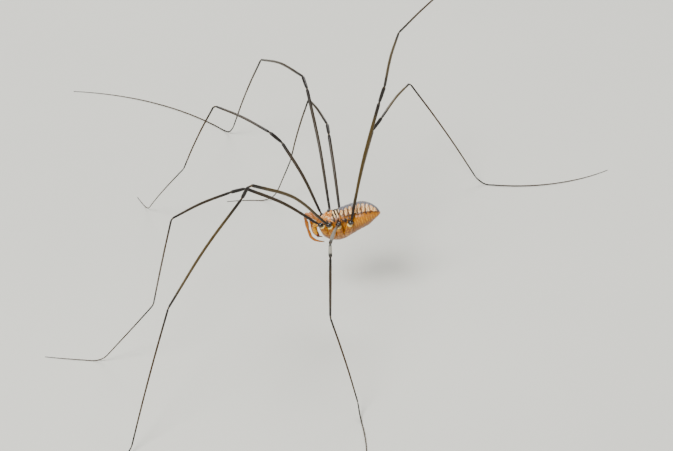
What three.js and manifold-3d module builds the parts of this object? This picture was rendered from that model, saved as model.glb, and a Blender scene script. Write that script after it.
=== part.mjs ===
// A striped harvestman standing on seven feet with its left hind leg raised.
// Millimetres, +Z up, head towards -X, the animal's left side towards -Y.
// The origin is on the floor, under the middle of the whole model.
import * as THREE from 'three';
import { mergeVertices } from 'three/addons/utils/BufferGeometryUtils.js';
import Module from 'manifold-3d';

const wasm = await Module();
wasm.setup();

// Clear gaps between neighbouring pieces.
const JOINT_GAP = 0.3;
const MOUND_GAP = 0.1;
const EYE_GAP = 0.05;

// How the body stands: height of its centre, and its turn about each axis in degrees.
const BODY_HEIGHT = 11.4;
const BODY_TURN = { roll: -16, pitch: -14, yaw: 1 };

// Shift that brings the middle of the model over the origin.
const MODEL_SHIFT = [5.08, -1.04];

// Trunk outline in body axes: [distance behind the body centre, value].
const TRUNK_FRONT = -3.25;
const TRUNK_REAR = 4.5;
const BACK_LINE = [
  [-3.25, 0.1], [-3.05, 0.85], [-2.5, 1.45], [-0.5, 1.88], [1.6, 2.12], [2.7, 2.04],
  [3.4, 1.72], [4.0, 1.22], [4.35, 0.72], [4.5, 0.3],
];
const BELLY_LINE = [
  [-3.25, -0.1], [-3.05, -0.8], [-2.5, -1.55], [-1.5, -1.95], [-0.5, -1.98], [0.6, -1.6],
  [1.9, -1.12], [2.95, -0.78], [3.7, -0.32], [4.25, 0.0], [4.5, 0.18],
];
const SIDE_LINE = [
  [-3.25, 0.1], [-3.05, 0.75], [-2.5, 1.15], [-1.5, 1.4], [-0.3, 1.55], [0.7, 1.75],
  [1.5, 2.0], [2.3, 2.08], [3.1, 1.8], [3.8, 1.22], [4.3, 0.6], [4.5, 0.1],
];
const WAIST_LINE = [[-3.25, 0.0], [-1.0, 0.1], [1.5, 0.45], [3.5, 0.4], [4.5, 0.24]];
const TRUNK_SIDES = 28;
const TRUNK_RINGS = 40;
const END_FULLNESS = 4;

// The cut between the front and hind body, a plane that leans back towards the belly.
const CUT_AT_BACK = { x: -0.75, z: 2 };
const CUT_LEAN = 30;
const CUT_BLOCK = 30;

// Cross grooves between the plates of the back, and their shape.
const GROOVES = [-1.05, -0.4, 0.25, 0.83, 1.38, 1.95, 2.5, 3.0, 3.48, 3.9];
const GROOVE_DEPTH = 0.07;
const GROOVE_WIDTH = 0.1;

// Eye mound on the front body, with one eye on each side. An eye is a ball pressed flat
// from side to side.
const MOUND = { x: -1.6, z: 1.62, length: 0.62, width: 0.4, height: 0.46 };
const MOUND_MESH = [16, 10];
const EYE = { radius: 0.16, halfThickness: 0.08, z: 1.9 };
const EYE_MESH = [12, 8];

// Trochanters in body axes: [behind centre, out from the middle, above centre].
const HIPS = [[-2.75, 1.75, 0.85], [-1.75, 1.95, 0.7], [-0.6, 2.1, 0.55], [0.95, 2.2, 0.5]];
const TROCHANTER_RADIUS = 0.33;
const TROCHANTER_MESH = [10, 7];

// Coxae run from the underside of the front body up to the trochanters.
const COXA_ROOTS = [[-2.1, 0.55, -0.95], [-1.45, 0.6, -1.35], [-0.75, 0.6, -1.4], [-0.1, 0.65, -1.2]];
const COXA_ROOT_RADIUS = 0.62;
const COXA_TIP_RADIUS = 0.36;
const COXA_MIDDLE_RADIUS = 0.527;
const COXA_BULGE = 0.22;
const COXA_RINGS = 5;

// Leg segment lengths for legs one to four.
const FEMUR = [10.2, 16.2, 10.0, 15.2];
const PATELLA = [2.0, 2.4, 1.9, 2.3];
const TIBIA = [7.9, 16.2, 7.7, 11.2];
const METATARSUS = [10.9, 16.5, 11.0, 15.5];
const TARSUS = [17.5, 27, 13, 19];

// Leg thickness. Each limb bows by this share of its length.
const LEG_SIDES = 8;
const STRAIGHT_LIMB_RINGS = 3;
const BOWED_LIMB_RINGS = 6;
const LEAST_BOW = 0.02;
const LEG_RADIUS = 0.27;
const KNEE_RADIUS = 0.3;
const CLAW_RADIUS = 0.17;
const TARSUS_RING_STEP = 1.2;
const FEMUR_BOW = [0.045, 0.062, 0.03, 0.035];
const TIBIA_BOW = 0.035;
const METATARSUS_BOW = 0.015;

// Pose: [heading, pitch] in degrees of femur, patella, tibia and metatarsus. Heading turns
// from +X towards +Y. The tarsus sweeps from one heading to another. It drops at a pitch until
// it lies along the floor, or it curls in the air from one pitch to another.
const POSES = {
  left_1: { angles: [[173, 27], [202, -2], [206, -11], [257, -37]], sweep: [184, 170], drop: -52 },
  left_2: { angles: [[219, 43], [170, -66], [236, -25], [244, -54]], sweep: [236, 200], drop: -54 },
  left_3: { angles: [[264, 22], [271, -27], [270, -28], [316, -66]], sweep: [285, 262], drop: -66 },
  left_4: { angles: [[57, 66], [8, 74], [288, 65], [318, 50]], sweep: [325, 362], curl: [38, -30] },
  right_1: { angles: [[135, 47], [156, 33], [153, 12], [168, -67]], sweep: [134, 116], drop: -51 },
  right_2: { angles: [[104, 42], [104, 10], [112, -22], [122, -62]], sweep: [130, 175], drop: -62 },
  right_3: { angles: [[101, 44], [97, 10], [108, -7], [143, -74]], sweep: [150, 190], drop: -70 },
  right_4: { angles: [[80, 8], [56, 21], [70, -7], [335, -51]], sweep: [345, 395], drop: -51 },
};

// A foot's middle line lies this high on the floor, and bends down to it at this radius.
// Its walk takes this many steps. The claw end narrows from this share of the length on.
const FOOT_HEIGHT = 0.165;
const FOOT_BEND = 3;
const FOOT_STEPS = 30;
const FOOT_TAPER_START = 0.6;
const FOOT_START_SHARE = 0.02;

// Pedipalps: [behind centre, out, above centre, radius] along the middle line.
const LEFT_PALP = [
  [-2.7, 0.75, 0.75, 0.3], [-3.35, 0.85, 1.55, 0.27], [-3.95, 0.92, 2.15, 0.25], [-4.25, 0.92, 2.3, 0.28],
  [-4.42, 0.92, 1.95, 0.26], [-4.48, 0.9, 1.1, 0.27], [-4.5, 0.88, 0.1, 0.25],
  [-4.4, 0.84, -0.62, 0.25], [-4.05, 0.78, -1.15, 0.22], [-3.5, 0.7, -1.5, 0.17], [-2.9, 0.66, -1.72, 0.1],
];
const RIGHT_PALP = [
  [-2.7, 0.75, 0.65, 0.3], [-3.25, 0.85, 1.25, 0.27], [-3.7, 0.92, 1.65, 0.25], [-3.98, 0.92, 1.7, 0.28],
  [-4.1, 0.92, 1.4, 0.26], [-4.14, 0.9, 0.7, 0.27], [-4.2, 0.88, -0.1, 0.25],
  [-4.14, 0.84, -0.7, 0.25], [-3.85, 0.78, -1.15, 0.2], [-3.45, 0.72, -1.4, 0.14], [-3.2, 0.7, -1.5, 0.1],
];

// Chelicerae: a short base pointing forwards, then a hand hanging down to two fingers.
// Each line is [behind centre, above centre, radius].
const CHELICERA_OUT = 0.32;
const CHELICERA_BASE = [[-2.9, 0.35, 0.24], [-3.35, 0.5, 0.27], [-3.72, 0.5, 0.25], [-3.86, 0.3, 0.22]];
const CHELICERA_HAND = [[-3.72, 0.5, 0.2], [-3.8, 0.2, 0.27], [-3.78, -0.3, 0.25], [-3.7, -0.75, 0.14]];
const CHELICERA_FINGERS = [
  [[-3.72, -0.5, 0.13], [-3.72, -0.85, 0.1], [-3.6, -1.15, 0.05]],
  [[-3.72, -0.5, 0.13], [-3.56, -0.85, 0.1], [-3.52, -1.12, 0.05]],
];

// Mesh counts of the mouthparts.
const TUBE_SIDES = 10;
const FINGER_SIDES = 6;
const PALP_RINGS = 22;
const BASE_RINGS = 4;
const HAND_RINGS = 6;
const FINGER_RINGS = 4;

// A rounded end has one ring at this share of the radius from the tip, and this wide.
const CAP_SHARE = 0.35;
const CAP_WIDTH = 0.75;

// Colour and roughness for each kind of piece.
const LOOKS = {
  trunk: new THREE.MeshStandardMaterial({ color: 0xb5651d, roughness: 0.35 }),
  back: new THREE.MeshStandardMaterial({ color: 0xd9a878, roughness: 0.4 }),
  palp: new THREE.MeshStandardMaterial({ color: 0xc9702e, roughness: 0.35 }),
  eye: new THREE.MeshStandardMaterial({ color: 0x0c0a09, roughness: 0.08 }),
  black: new THREE.MeshStandardMaterial({ color: 0x1c1815, roughness: 0.3 }),
  leg: new THREE.MeshStandardMaterial({ color: 0x3b3220, roughness: 0.45 }),
  foot: new THREE.MeshStandardMaterial({ color: 0x4a3524, roughness: 0.5 }),
};

const radians = THREE.MathUtils.degToRad;

// Value of an outline at a distance behind the centre, on a smooth curve through its points.
function outlineAt(line, x) {
  const last = line.length - 1;
  const clamped = THREE.MathUtils.clamp(x, line[0][0], line[last][0]);
  let i = 0;
  while (i < last - 1 && clamped > line[i + 1][0]) i += 1;
  const slope = (j) => {
    const before = line[Math.max(j - 1, 0)];
    const after = line[Math.min(j + 1, last)];
    return (after[1] - before[1]) / (after[0] - before[0]);
  };
  const span = line[i + 1][0] - line[i][0];
  const t = (clamped - line[i][0]) / span;
  const rise = line[i + 1][1] - line[i][1];
  const startPull = slope(i) * span - rise;
  const endPull = rise - slope(i + 1) * span;
  return line[i][1] + rise * t + t * (1 - t) * (startPull * (1 - t) + endPull * t);
}

// Welds a geometry's shared points and drops the flat triangles at its poles.
function weld(geometry) {
  const bare = geometry.clone();
  bare.deleteAttribute('normal');
  bare.deleteAttribute('uv');
  const merged = mergeVertices(bare, 1e-4);
  const corners = merged.index.array;
  const kept = [];
  for (let i = 0; i < corners.length; i += 3) {
    const [a, b, c] = corners.slice(i, i + 3);
    if (a !== b && b !== c && c !== a) kept.push(a, b, c);
  }
  merged.setIndex(kept);
  return merged;
}

function toSolid(geometry) {
  const welded = weld(geometry);
  return new wasm.Manifold(new wasm.Mesh({
    numProp: 3,
    vertProperties: new Float32Array(welded.attributes.position.array),
    triVerts: new Uint32Array(welded.index.array),
  }));
}

function toGeometry(solid) {
  const mesh = solid.getMesh();
  const geometry = new THREE.BufferGeometry();
  geometry.setAttribute('position', new THREE.BufferAttribute(new Float32Array(mesh.vertProperties), 3));
  geometry.setIndex(Array.from(mesh.triVerts));
  geometry.computeVertexNormals();
  return geometry;
}

// The largest closed body of a solid, without any loose scrap.
function largestBody(solid) {
  const bodies = solid.decompose();
  return bodies.reduce((best, body) => (body.volume() > best.volume() ? body : best));
}

// A closed round limb: a lathe profile of [share of length, radius], laid along a path.
function limb(path, profile, sides = LEG_SIDES) {
  const turned = new THREE.LatheGeometry(profile.map(([t, radius]) => new THREE.Vector2(radius, t)), sides);
  const spots = turned.attributes.position;
  const up = new THREE.Vector3(0, 0, 1);
  for (let i = 0; i < spots.count; i += 1) {
    const along = THREE.MathUtils.clamp(spots.getY(i), 0, 1);
    const tangent = path.getTangentAt(along);
    const side = new THREE.Vector3().crossVectors(tangent, up).normalize();
    const over = new THREE.Vector3().crossVectors(side, tangent);
    const spot = path.getPointAt(along);
    spot.addScaledVector(side, spots.getX(i));
    spot.addScaledVector(over, spots.getZ(i));
    spots.setXYZ(i, spot.x, spot.y, spot.z);
  }
  return weld(turned);
}

// Profile of a limb with rounded ends, its radius given at a few shares of its length.
function roundedProfile(length, radii) {
  const last = radii.length - 1;
  const startRadius = radii[0][1];
  const endRadius = radii[last][1];
  const profile = [[0, 0], [startRadius * CAP_SHARE / length, startRadius * CAP_WIDTH]];
  for (const [share, radius] of radii) {
    const low = startRadius / length;
    const high = 1 - endRadius / length;
    profile.push([THREE.MathUtils.lerp(low, high, share), radius]);
  }
  profile.push([1 - endRadius * CAP_SHARE / length, endRadius * CAP_WIDTH], [1, 0]);
  return profile;
}

// Trunk: a sphere with its poles fore and aft, remoulded to the outlines. Its rings crowd
// towards the poles, where END_FULLNESS rounds them off. Cross grooves part the plates of
// the back. A grown trunk has no grooves and serves as a clearance.
function trunkGeometry(grow = 0) {
  const ball = new THREE.SphereGeometry(1, TRUNK_SIDES, TRUNK_RINGS);
  ball.rotateZ(Math.PI / 2);
  const spots = ball.attributes.position;
  const middle = (TRUNK_FRONT + TRUNK_REAR) / 2;
  const half = (TRUNK_REAR - TRUNK_FRONT) / 2;
  for (let i = 0; i < spots.count; i += 1) {
    const share = spots.getX(i);
    const ring = Math.max(Math.hypot(spots.getY(i), spots.getZ(i)), 1e-9);
    const round = Math.sqrt(Math.max(1 - share * share, 0));
    const x = middle + half * Math.sin(share * Math.PI / 2);
    const waist = outlineAt(WAIST_LINE, x);
    const across = spots.getY(i) / ring;
    const aloft = spots.getZ(i) / ring;
    const reach = aloft > 0 ? outlineAt(BACK_LINE, x) - waist : waist - outlineAt(BELLY_LINE, x);
    const notch = GROOVES.reduce((sum, at) => sum + Math.exp(-(((x - at) / GROOVE_WIDTH) ** 2)), 0);
    const fit = Math.min(1, round * END_FULLNESS) * (1 - (grow > 0 ? 0 : GROOVE_DEPTH * notch / 2));
    const width = (outlineAt(SIDE_LINE, x) * fit + grow) * across;
    const height = (reach * fit + grow) * aloft;
    const stretch = x + grow * share;
    spots.setXYZ(i, stretch, round > 1e-6 ? width : 0, waist + (round > 1e-6 ? height : 0));
  }
  return weld(ball);
}

// A block that fills everything on one side of the cut between front and hind body.
function beyondCut(side) {
  const block = new THREE.BoxGeometry(CUT_BLOCK, CUT_BLOCK, CUT_BLOCK);
  block.translate(side * (CUT_BLOCK / 2 - JOINT_GAP / 2), 0, 0);
  block.rotateY(-radians(CUT_LEAN));
  block.translate(CUT_AT_BACK.x, 0, CUT_AT_BACK.z);
  return toSolid(block);
}

// A closed tube through hand-set points of [x, y, z, radius].
function taperedTube(points, sides, rings) {
  const path = new THREE.CatmullRomCurve3(points.map(([x, y, z]) => new THREE.Vector3(x, y, z)));
  const length = path.getLength();
  const radii = [];
  for (let i = 0; i <= rings; i += 1) {
    const share = i / rings;
    const at = path.getUtoTmapping(share, 0) * (points.length - 1);
    const before = Math.min(Math.floor(at), points.length - 2);
    radii.push([share, THREE.MathUtils.lerp(points[before][3], points[before + 1][3], at - before)]);
  }
  return limb(path, roundedProfile(length, radii), sides);
}

// A coxa from its root under the body to the gap before its trochanter. A grown one
// serves as a clearance.
function coxaSolid(index, sign, grow = 0) {
  const [rootX, rootOut, rootZ] = COXA_ROOTS[index];
  const root = new THREE.Vector3(rootX, sign * rootOut, rootZ);
  const [hipX, hipOut, hipZ] = HIPS[index];
  const hip = new THREE.Vector3(hipX, sign * hipOut, hipZ);
  const inward = root.clone().sub(hip).normalize();
  const tip = hip.clone().addScaledVector(inward, TROCHANTER_RADIUS + JOINT_GAP - grow);
  root.addScaledVector(inward, grow);
  const bulge = root.clone().lerp(tip, 0.5);
  bulge.y += sign * COXA_BULGE;
  const points = [
    [root.x, root.y, root.z, COXA_ROOT_RADIUS + grow],
    [bulge.x, bulge.y, bulge.z, COXA_MIDDLE_RADIUS + grow],
    [tip.x, tip.y, tip.z, COXA_TIP_RADIUS + grow],
  ];
  return toSolid(taperedTube(points, TUBE_SIDES, COXA_RINGS));
}

function addMesh(group, name, geometry, look) {
  const mesh = new THREE.Mesh(geometry, look);
  mesh.name = name;
  group.add(mesh);
  return mesh;
}

const harvestman = new THREE.Group();
harvestman.position.set(MODEL_SHIFT[0], MODEL_SHIFT[1], 0);

const body = new THREE.Group();
body.position.z = BODY_HEIGHT;
body.rotation.set(radians(BODY_TURN.roll), radians(BODY_TURN.pitch), radians(BODY_TURN.yaw), 'ZYX');
harvestman.add(body);
body.updateMatrix();

// Front body with its eight coxae, and the hind body behind the cut.
const trunk = toSolid(trunkGeometry());
let prosoma = trunk.subtract(beyondCut(1));
let abdomen = trunk.subtract(beyondCut(-1));
for (const sign of [-1, 1]) {
  for (const index of HIPS.keys()) prosoma = prosoma.add(coxaSolid(index, sign));
  for (const index of [2, 3]) abdomen = abdomen.subtract(coxaSolid(index, sign, JOINT_GAP));
}
addMesh(body, 'prosoma', toGeometry(largestBody(prosoma)), LOOKS.trunk);
addMesh(body, 'abdomen', toGeometry(largestBody(abdomen)), LOOKS.back);

// Eye mound and eyes.
const mound = new THREE.SphereGeometry(1, ...MOUND_MESH);
mound.scale(MOUND.length / 2, MOUND.width / 2, MOUND.height);
mound.translate(MOUND.x, 0, MOUND.z);
const moundSolid = toSolid(mound).subtract(toSolid(trunkGeometry(MOUND_GAP)));
addMesh(body, 'ocularium', toGeometry(largestBody(moundSolid)), LOOKS.black);
for (const [name, sign] of [['eye_left', -1], ['eye_right', 1]]) {
  const eye = new THREE.SphereGeometry(EYE.radius, ...EYE_MESH);
  eye.scale(1, EYE.halfThickness / EYE.radius, 1);
  eye.translate(MOUND.x, sign * (MOUND.width / 2 + EYE_GAP + EYE.halfThickness), EYE.z);
  addMesh(body, name, weld(eye), LOOKS.eye);
}

// Mouthparts, kept clear of the front body.
const clearance = toSolid(trunkGeometry(JOINT_GAP));
for (const [name, sign, points] of [['left', -1, LEFT_PALP], ['right', 1, RIGHT_PALP]]) {
  const placed = points.map(([x, out, z, radius]) => [x, sign * out, z, radius]);
  const whole = toSolid(taperedTube(placed, TUBE_SIDES, PALP_RINGS));
  const palp = whole.subtract(clearance).subtract(coxaSolid(0, sign, JOINT_GAP));
  addMesh(body, `pedipalp_${name}`, toGeometry(largestBody(palp)), LOOKS.palp);

  const placeTube = (line) => line.map(([x, z, radius]) => [x, sign * CHELICERA_OUT, z, radius]);
  let chelicera = toSolid(taperedTube(placeTube(CHELICERA_BASE), TUBE_SIDES, BASE_RINGS));
  chelicera = chelicera.add(toSolid(taperedTube(placeTube(CHELICERA_HAND), TUBE_SIDES, HAND_RINGS)));
  for (const finger of CHELICERA_FINGERS) {
    chelicera = chelicera.add(toSolid(taperedTube(placeTube(finger), FINGER_SIDES, FINGER_RINGS)));
  }
  addMesh(body, `chelicera_${name}`, toGeometry(largestBody(chelicera.subtract(clearance))), LOOKS.palp);
}

// Direction of a heading and a pitch.
function direction([heading, pitch]) {
  const level = Math.cos(radians(pitch));
  return new THREE.Vector3(
    level * Math.cos(radians(heading)),
    level * Math.sin(radians(heading)),
    Math.sin(radians(pitch)),
  );
}

// How far a rounded end stays back from a joint so that its neighbour keeps the gap.
function setback(bend) {
  return (KNEE_RADIUS + JOINT_GAP / 2) / Math.cos(bend / 2) - KNEE_RADIUS;
}

// A bowed limb between two joints, shortened at each end.
function bowedPath(start, end, bow, startBack, endBack) {
  const along = end.clone().sub(start);
  const length = along.length();
  along.normalize();
  const side = new THREE.Vector3().crossVectors(along, new THREE.Vector3(0, 0, 1)).normalize();
  const lift = new THREE.Vector3().crossVectors(side, along);
  const from = start.clone().addScaledVector(along, startBack);
  const to = end.clone().addScaledVector(along, -endBack);
  const middle = from.clone().lerp(to, 0.5).addScaledVector(lift, bow * length);
  return new THREE.CatmullRomCurve3([from, middle, to]);
}

// The tarsus as a walk of short steps. On the floor its slope eases off along a circle
// that touches the foot height. A raised one turns from one pitch to another.
function tarsusPath(start, pose, length) {
  const spots = [start.clone()];
  const spot = start.clone();
  for (let i = 0; i < FOOT_STEPS; i += 1) {
    const share = (i + 0.5) / FOOT_STEPS;
    const heading = THREE.MathUtils.lerp(pose.sweep[0], pose.sweep[1], share);
    const height = Math.max(spot.z - FOOT_HEIGHT, 0);
    const ease = THREE.MathUtils.radToDeg(Math.acos(Math.max(1 - height / FOOT_BEND, -1)));
    const laid = -Math.min(-pose.drop, ease);
    const pitch = pose.curl ? THREE.MathUtils.lerp(pose.curl[0], pose.curl[1], share) : laid;
    spot.addScaledVector(direction([heading, pitch]), length / FOOT_STEPS);
    if (!pose.curl) spot.z = Math.max(spot.z, FOOT_HEIGHT);
    spots.push(spot.clone());
  }
  return new THREE.CatmullRomCurve3(spots);
}

// Lays a foot's underside flat on the floor.
function flattenOnFloor(geometry) {
  const spots = geometry.attributes.position;
  for (let i = 0; i < spots.count; i += 1) spots.setZ(i, Math.max(spots.getZ(i), 0));
  return geometry;
}

// The five pieces of a leg beyond its trochanter, end to end from the hip.
function legSegments(name, index, pose, hip) {
  const lengths = [FEMUR[index], PATELLA[index], TIBIA[index], METATARSUS[index]];
  const bows = [FEMUR_BOW[index], 0, TIBIA_BOW, METATARSUS_BOW];
  const names = ['femur', 'patella', 'tibia', 'metatarsus'];
  const looks = [LOOKS.leg, LOOKS.black, LOOKS.leg, LOOKS.foot];
  const middles = [LEG_RADIUS, KNEE_RADIUS, LEG_RADIUS, LEG_RADIUS];
  const joints = [hip];
  pose.angles.forEach((angles, i) => {
    joints.push(joints[i].clone().addScaledVector(direction(angles), lengths[i]));
  });

  const tarsus = tarsusPath(joints[4], pose, TARSUS[index]);
  const courses = [...pose.angles.map(direction), tarsus.getTangentAt(FOOT_START_SHARE)];
  const bends = courses.slice(1).map((course, i) => setback(course.angleTo(courses[i])));
  const startBacks = [TROCHANTER_RADIUS + JOINT_GAP, ...bends];

  names.forEach((kind, i) => {
    const path = bowedPath(joints[i], joints[i + 1], bows[i], startBacks[i], bends[i]);
    const rings = bows[i] > LEAST_BOW ? BOWED_LIMB_RINGS : STRAIGHT_LIMB_RINGS;
    const radii = Array.from({ length: rings + 1 }, (_, k) => [k / rings, middles[i]]);
    const geometry = limb(path, roundedProfile(path.getLength(), radii));
    addMesh(harvestman, `${name}_${kind}`, geometry, looks[i]);
  });

  const kept = TARSUS[index] - bends[3];
  const rings = Math.round(kept / TARSUS_RING_STEP);
  const stops = Array.from({ length: rings + 1 }, (_, k) => 1 - (1 - k / rings) * kept / TARSUS[index]);
  const shortened = new THREE.CatmullRomCurve3(stops.map((stop) => tarsus.getPointAt(stop)));
  const radii = Array.from({ length: rings + 1 }, (_, k) => {
    const taper = THREE.MathUtils.smoothstep(k / rings, FOOT_TAPER_START, 1);
    return [k / rings, THREE.MathUtils.lerp(LEG_RADIUS, CLAW_RADIUS, taper)];
  });
  const foot = flattenOnFloor(limb(shortened, roundedProfile(shortened.getLength(), radii)));
  addMesh(harvestman, `${name}_tarsus`, foot, LOOKS.foot);
}

for (const [name, pose] of Object.entries(POSES)) {
  const [side, number] = name.split('_');
  const index = Number(number) - 1;
  const [hipX, hipOut, hipZ] = HIPS[index];
  const socket = new THREE.Vector3(hipX, (side === 'left' ? -1 : 1) * hipOut, hipZ);
  const ball = new THREE.SphereGeometry(TROCHANTER_RADIUS, ...TROCHANTER_MESH);
  ball.translate(socket.x, socket.y, socket.z);
  addMesh(body, `${name}_trochanter`, weld(ball), LOOKS.black);
  legSegments(name, index, pose, socket.clone().applyMatrix4(body.matrix));
}

export default harvestman;
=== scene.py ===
# %% [markdown]
# # A striped harvestman on tall thin legs
# The solids of the animal arrive as a fixed frame. Everything below dresses them: one
# smooth skin over the body, one over each leg, the mouthparts, the eyes and fine hairs.

import math

import bpy
import numpy as np
from mathutils import Euler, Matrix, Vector


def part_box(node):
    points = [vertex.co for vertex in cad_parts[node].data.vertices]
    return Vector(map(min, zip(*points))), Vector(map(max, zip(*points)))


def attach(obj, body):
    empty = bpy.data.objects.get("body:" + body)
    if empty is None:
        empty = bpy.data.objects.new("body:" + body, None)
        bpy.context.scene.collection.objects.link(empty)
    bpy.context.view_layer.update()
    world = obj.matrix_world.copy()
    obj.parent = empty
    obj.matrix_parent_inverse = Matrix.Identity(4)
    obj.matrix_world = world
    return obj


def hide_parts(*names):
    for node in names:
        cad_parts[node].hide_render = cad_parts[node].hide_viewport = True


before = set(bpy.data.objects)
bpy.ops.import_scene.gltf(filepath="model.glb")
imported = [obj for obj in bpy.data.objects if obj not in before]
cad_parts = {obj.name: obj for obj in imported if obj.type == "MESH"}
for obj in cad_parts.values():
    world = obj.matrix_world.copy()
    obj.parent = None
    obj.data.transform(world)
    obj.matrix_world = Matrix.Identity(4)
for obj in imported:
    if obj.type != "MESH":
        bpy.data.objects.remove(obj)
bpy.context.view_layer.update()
MM = 0.001

# %% [markdown]
# The body hangs between the legs, tipped and rolled. Its parts are easiest to describe in
# axes of its own: X runs back from the middle of the body, Y to the animal's right, Z out
# of its back. One matrix carries those axes into the frame.

# %% Body axes
BODY_CENTRE = (5.08, -1.04, 11.4)
BODY_TURN = (-16, -14, 1)
BODY_AXES = np.array(Euler([math.radians(angle) for angle in BODY_TURN], "XYZ").to_matrix())
TAIL_TIP = (4.5, 0, 0.2)
SIDES = (("left", -1), ("right", 1))


def from_body(points):
    """Turns body points in millimetres into frame points in metres."""
    return (np.asarray(points) @ BODY_AXES.T + np.array(BODY_CENTRE)) * MM


print("the tail tip sits at, mm:", np.round(from_body(TAIL_TIP) / MM, 2))

# %% [markdown]
# The camera looks down at 35 degrees from 320 mm away, a macro lens on a full-size
# sensor. It is aimed by saying which pixel of the 673 by 451 picture the body centre
# falls on, and stepping the camera sideways and up by that much.

# %% Camera
PICTURE = (673, 451)
BODY_PIXEL = (345, 222)
CAMERA_DISTANCE = 0.320
CAMERA_ELEVATION = 35
PIXELS_PER_MM = 8.2
SENSOR = 36.0
NEAREST_SEEN = 0.01
focal_pixels = PIXELS_PER_MM * CAMERA_DISTANCE / MM
elevation = math.radians(CAMERA_ELEVATION)
forward = Vector((0, math.cos(elevation), -math.sin(elevation)))
upward = Vector((0, math.sin(elevation), math.cos(elevation)))
off_x = (BODY_PIXEL[0] - PICTURE[0] / 2) / focal_pixels * CAMERA_DISTANCE
off_y = (PICTURE[1] / 2 - BODY_PIXEL[1]) / focal_pixels * CAMERA_DISTANCE
camera_data = bpy.data.cameras.new("camera")
camera_data.sensor_width = SENSOR
camera_data.lens = focal_pixels / PICTURE[0] * SENSOR
camera_data.clip_start = NEAREST_SEEN
camera = bpy.data.objects.new("camera", camera_data)
bpy.context.collection.objects.link(camera)
body_spot = Vector(BODY_CENTRE) * MM
camera.location = body_spot - forward * CAMERA_DISTANCE - Vector((off_x, 0, 0)) - upward * off_y
camera.rotation_euler = (math.radians(90 - CAMERA_ELEVATION), 0, 0)
bpy.context.scene.camera = camera
print("lens, mm:", round(camera_data.lens, 1))

# %% [markdown]
# Colours are picked as the sRGB hex values that a screen shows. The renderer adds up
# light, so it wants linear values, and one function turns the one into the other. A
# material is a tree of nodes. It could be clicked together by hand; a small function that
# adds one node with its settings and links keeps each tree short enough to read.

# %% Colour and node helpers


def linear(code):
    """sRGB hex to linear: low values are divided by 12.92, others raised to the power 2.4."""
    channels = np.array([int(code[i:i + 2], 16) for i in (1, 3, 5)]) / 255
    return np.where(channels <= 0.04045, channels / 12.92, ((channels + 0.055) / 1.055) ** 2.4)


def add_node(tree, kind, inputs=(), **settings):
    """Adds one node, sets its properties, then gives each named input a value or a link."""
    node = tree.nodes.new(kind)
    for key, value in settings.items():
        setattr(node, key, value)
    for key, value in dict(inputs).items():
        if isinstance(value, bpy.types.NodeSocket):
            tree.links.new(value, node.inputs[key])
        else:
            node.inputs[key].default_value = value
    return node


def new_material(name):
    """An empty node material with its output node."""
    material = bpy.data.materials.new(name)
    material.use_nodes = True
    material.node_tree.nodes.clear()
    output = material.node_tree.nodes.new("ShaderNodeOutputMaterial")
    return material, material.node_tree, output


print("screen grey #808080 in linear light:", linear("#808080").round(3))

# %% [markdown]
# Chitin is the horny plate that an arthropod wears. It is hard and waxy, so it shines
# like varnish, and light goes a little way into the pale kinds. Its markings could be an
# image, but here they arrive as a colour stored in each point, the attribute "paint", so
# they follow the shape. The material adds fine mottling, pores and an uneven gloss. Real
# pores are finer than these, which are drawn just coarse enough to show in a close-up.

# %% Chitin materials
FLECK_MM = 0.22
FLECK_RANGE = {"From Min": 0.3, "From Max": 0.7}
DULLEST, GLOSSIEST = 1.25, 0.8
PORE_DEPTH = 0.3
CHITIN_SHINE = {"IOR": 1.5, "Specular IOR Level": 0.32, "Coat Roughness": 0.12}
GLOW_REACH = {"Subsurface Scale": 0.0004, "Subsurface Radius": (1.0, 0.45, 0.2)}


def chitin(name, roughness, mottle, pore_mm, bump, coat, glow=0.0):
    """Painted cuticle: the paint attribute times fine noise, with pores as bump."""
    material, tree, output = new_material(name)
    place = add_node(tree, "ShaderNodeTexCoord").outputs["Object"]
    paint = add_node(tree, "ShaderNodeAttribute", attribute_name="paint").outputs["Color"]
    flecks = add_node(tree, "ShaderNodeTexNoise", {
        "Vector": place, "Scale": 1 / (FLECK_MM * MM), "Detail": 4}).outputs["Fac"]
    shade = add_node(tree, "ShaderNodeMapRange", {
        "Value": flecks, **FLECK_RANGE, "To Min": 1 - mottle, "To Max": 1 + mottle})
    tinted = add_node(tree, "ShaderNodeVectorMath", {
        0: paint, 1: shade.outputs["Result"]}, operation="MULTIPLY")
    pores = add_node(tree, "ShaderNodeTexVoronoi", {"Vector": place, "Scale": 1 / (pore_mm * MM)})
    dents = add_node(tree, "ShaderNodeBump", {
        "Height": pores.outputs["Distance"], "Strength": bump, "Distance": pore_mm * MM * PORE_DEPTH})
    gloss = add_node(tree, "ShaderNodeMapRange", {
        "Value": flecks, **FLECK_RANGE, "To Min": roughness * GLOSSIEST, "To Max": roughness * DULLEST})
    shader = add_node(tree, "ShaderNodeBsdfPrincipled", {
        "Base Color": tinted.outputs["Vector"], "Roughness": gloss.outputs["Result"],
        "Normal": dents.outputs["Normal"], "Coat Weight": coat, "Subsurface Weight": glow,
        **CHITIN_SHINE, **GLOW_REACH})
    tree.links.new(shader.outputs["BSDF"], output.inputs["Surface"])
    return material


# The body's plates: hard and waxed, so the lights show as soft glints over the markings.
BODY_CHITIN = chitin("glossy_amber_chitin", roughness=0.34, mottle=0.18, pore_mm=0.07, bump=0.5,
                     coat=0.12, glow=0.02)
# The legs: rougher and with less coat, so they stay dark and satin although they are thin.
LEG_CHITIN = chitin("dark_leg_chitin", roughness=0.4, mottle=0.18, pore_mm=0.06, bump=0.25, coat=0.08)
# The hip balls: smooth under a thick coat, so each shows a small sharp highlight.
BALL_CHITIN = chitin("polished_black_leg_chitin", roughness=0.22, mottle=0.1, pore_mm=0.09, bump=0.3,
                     coat=0.7)
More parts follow.
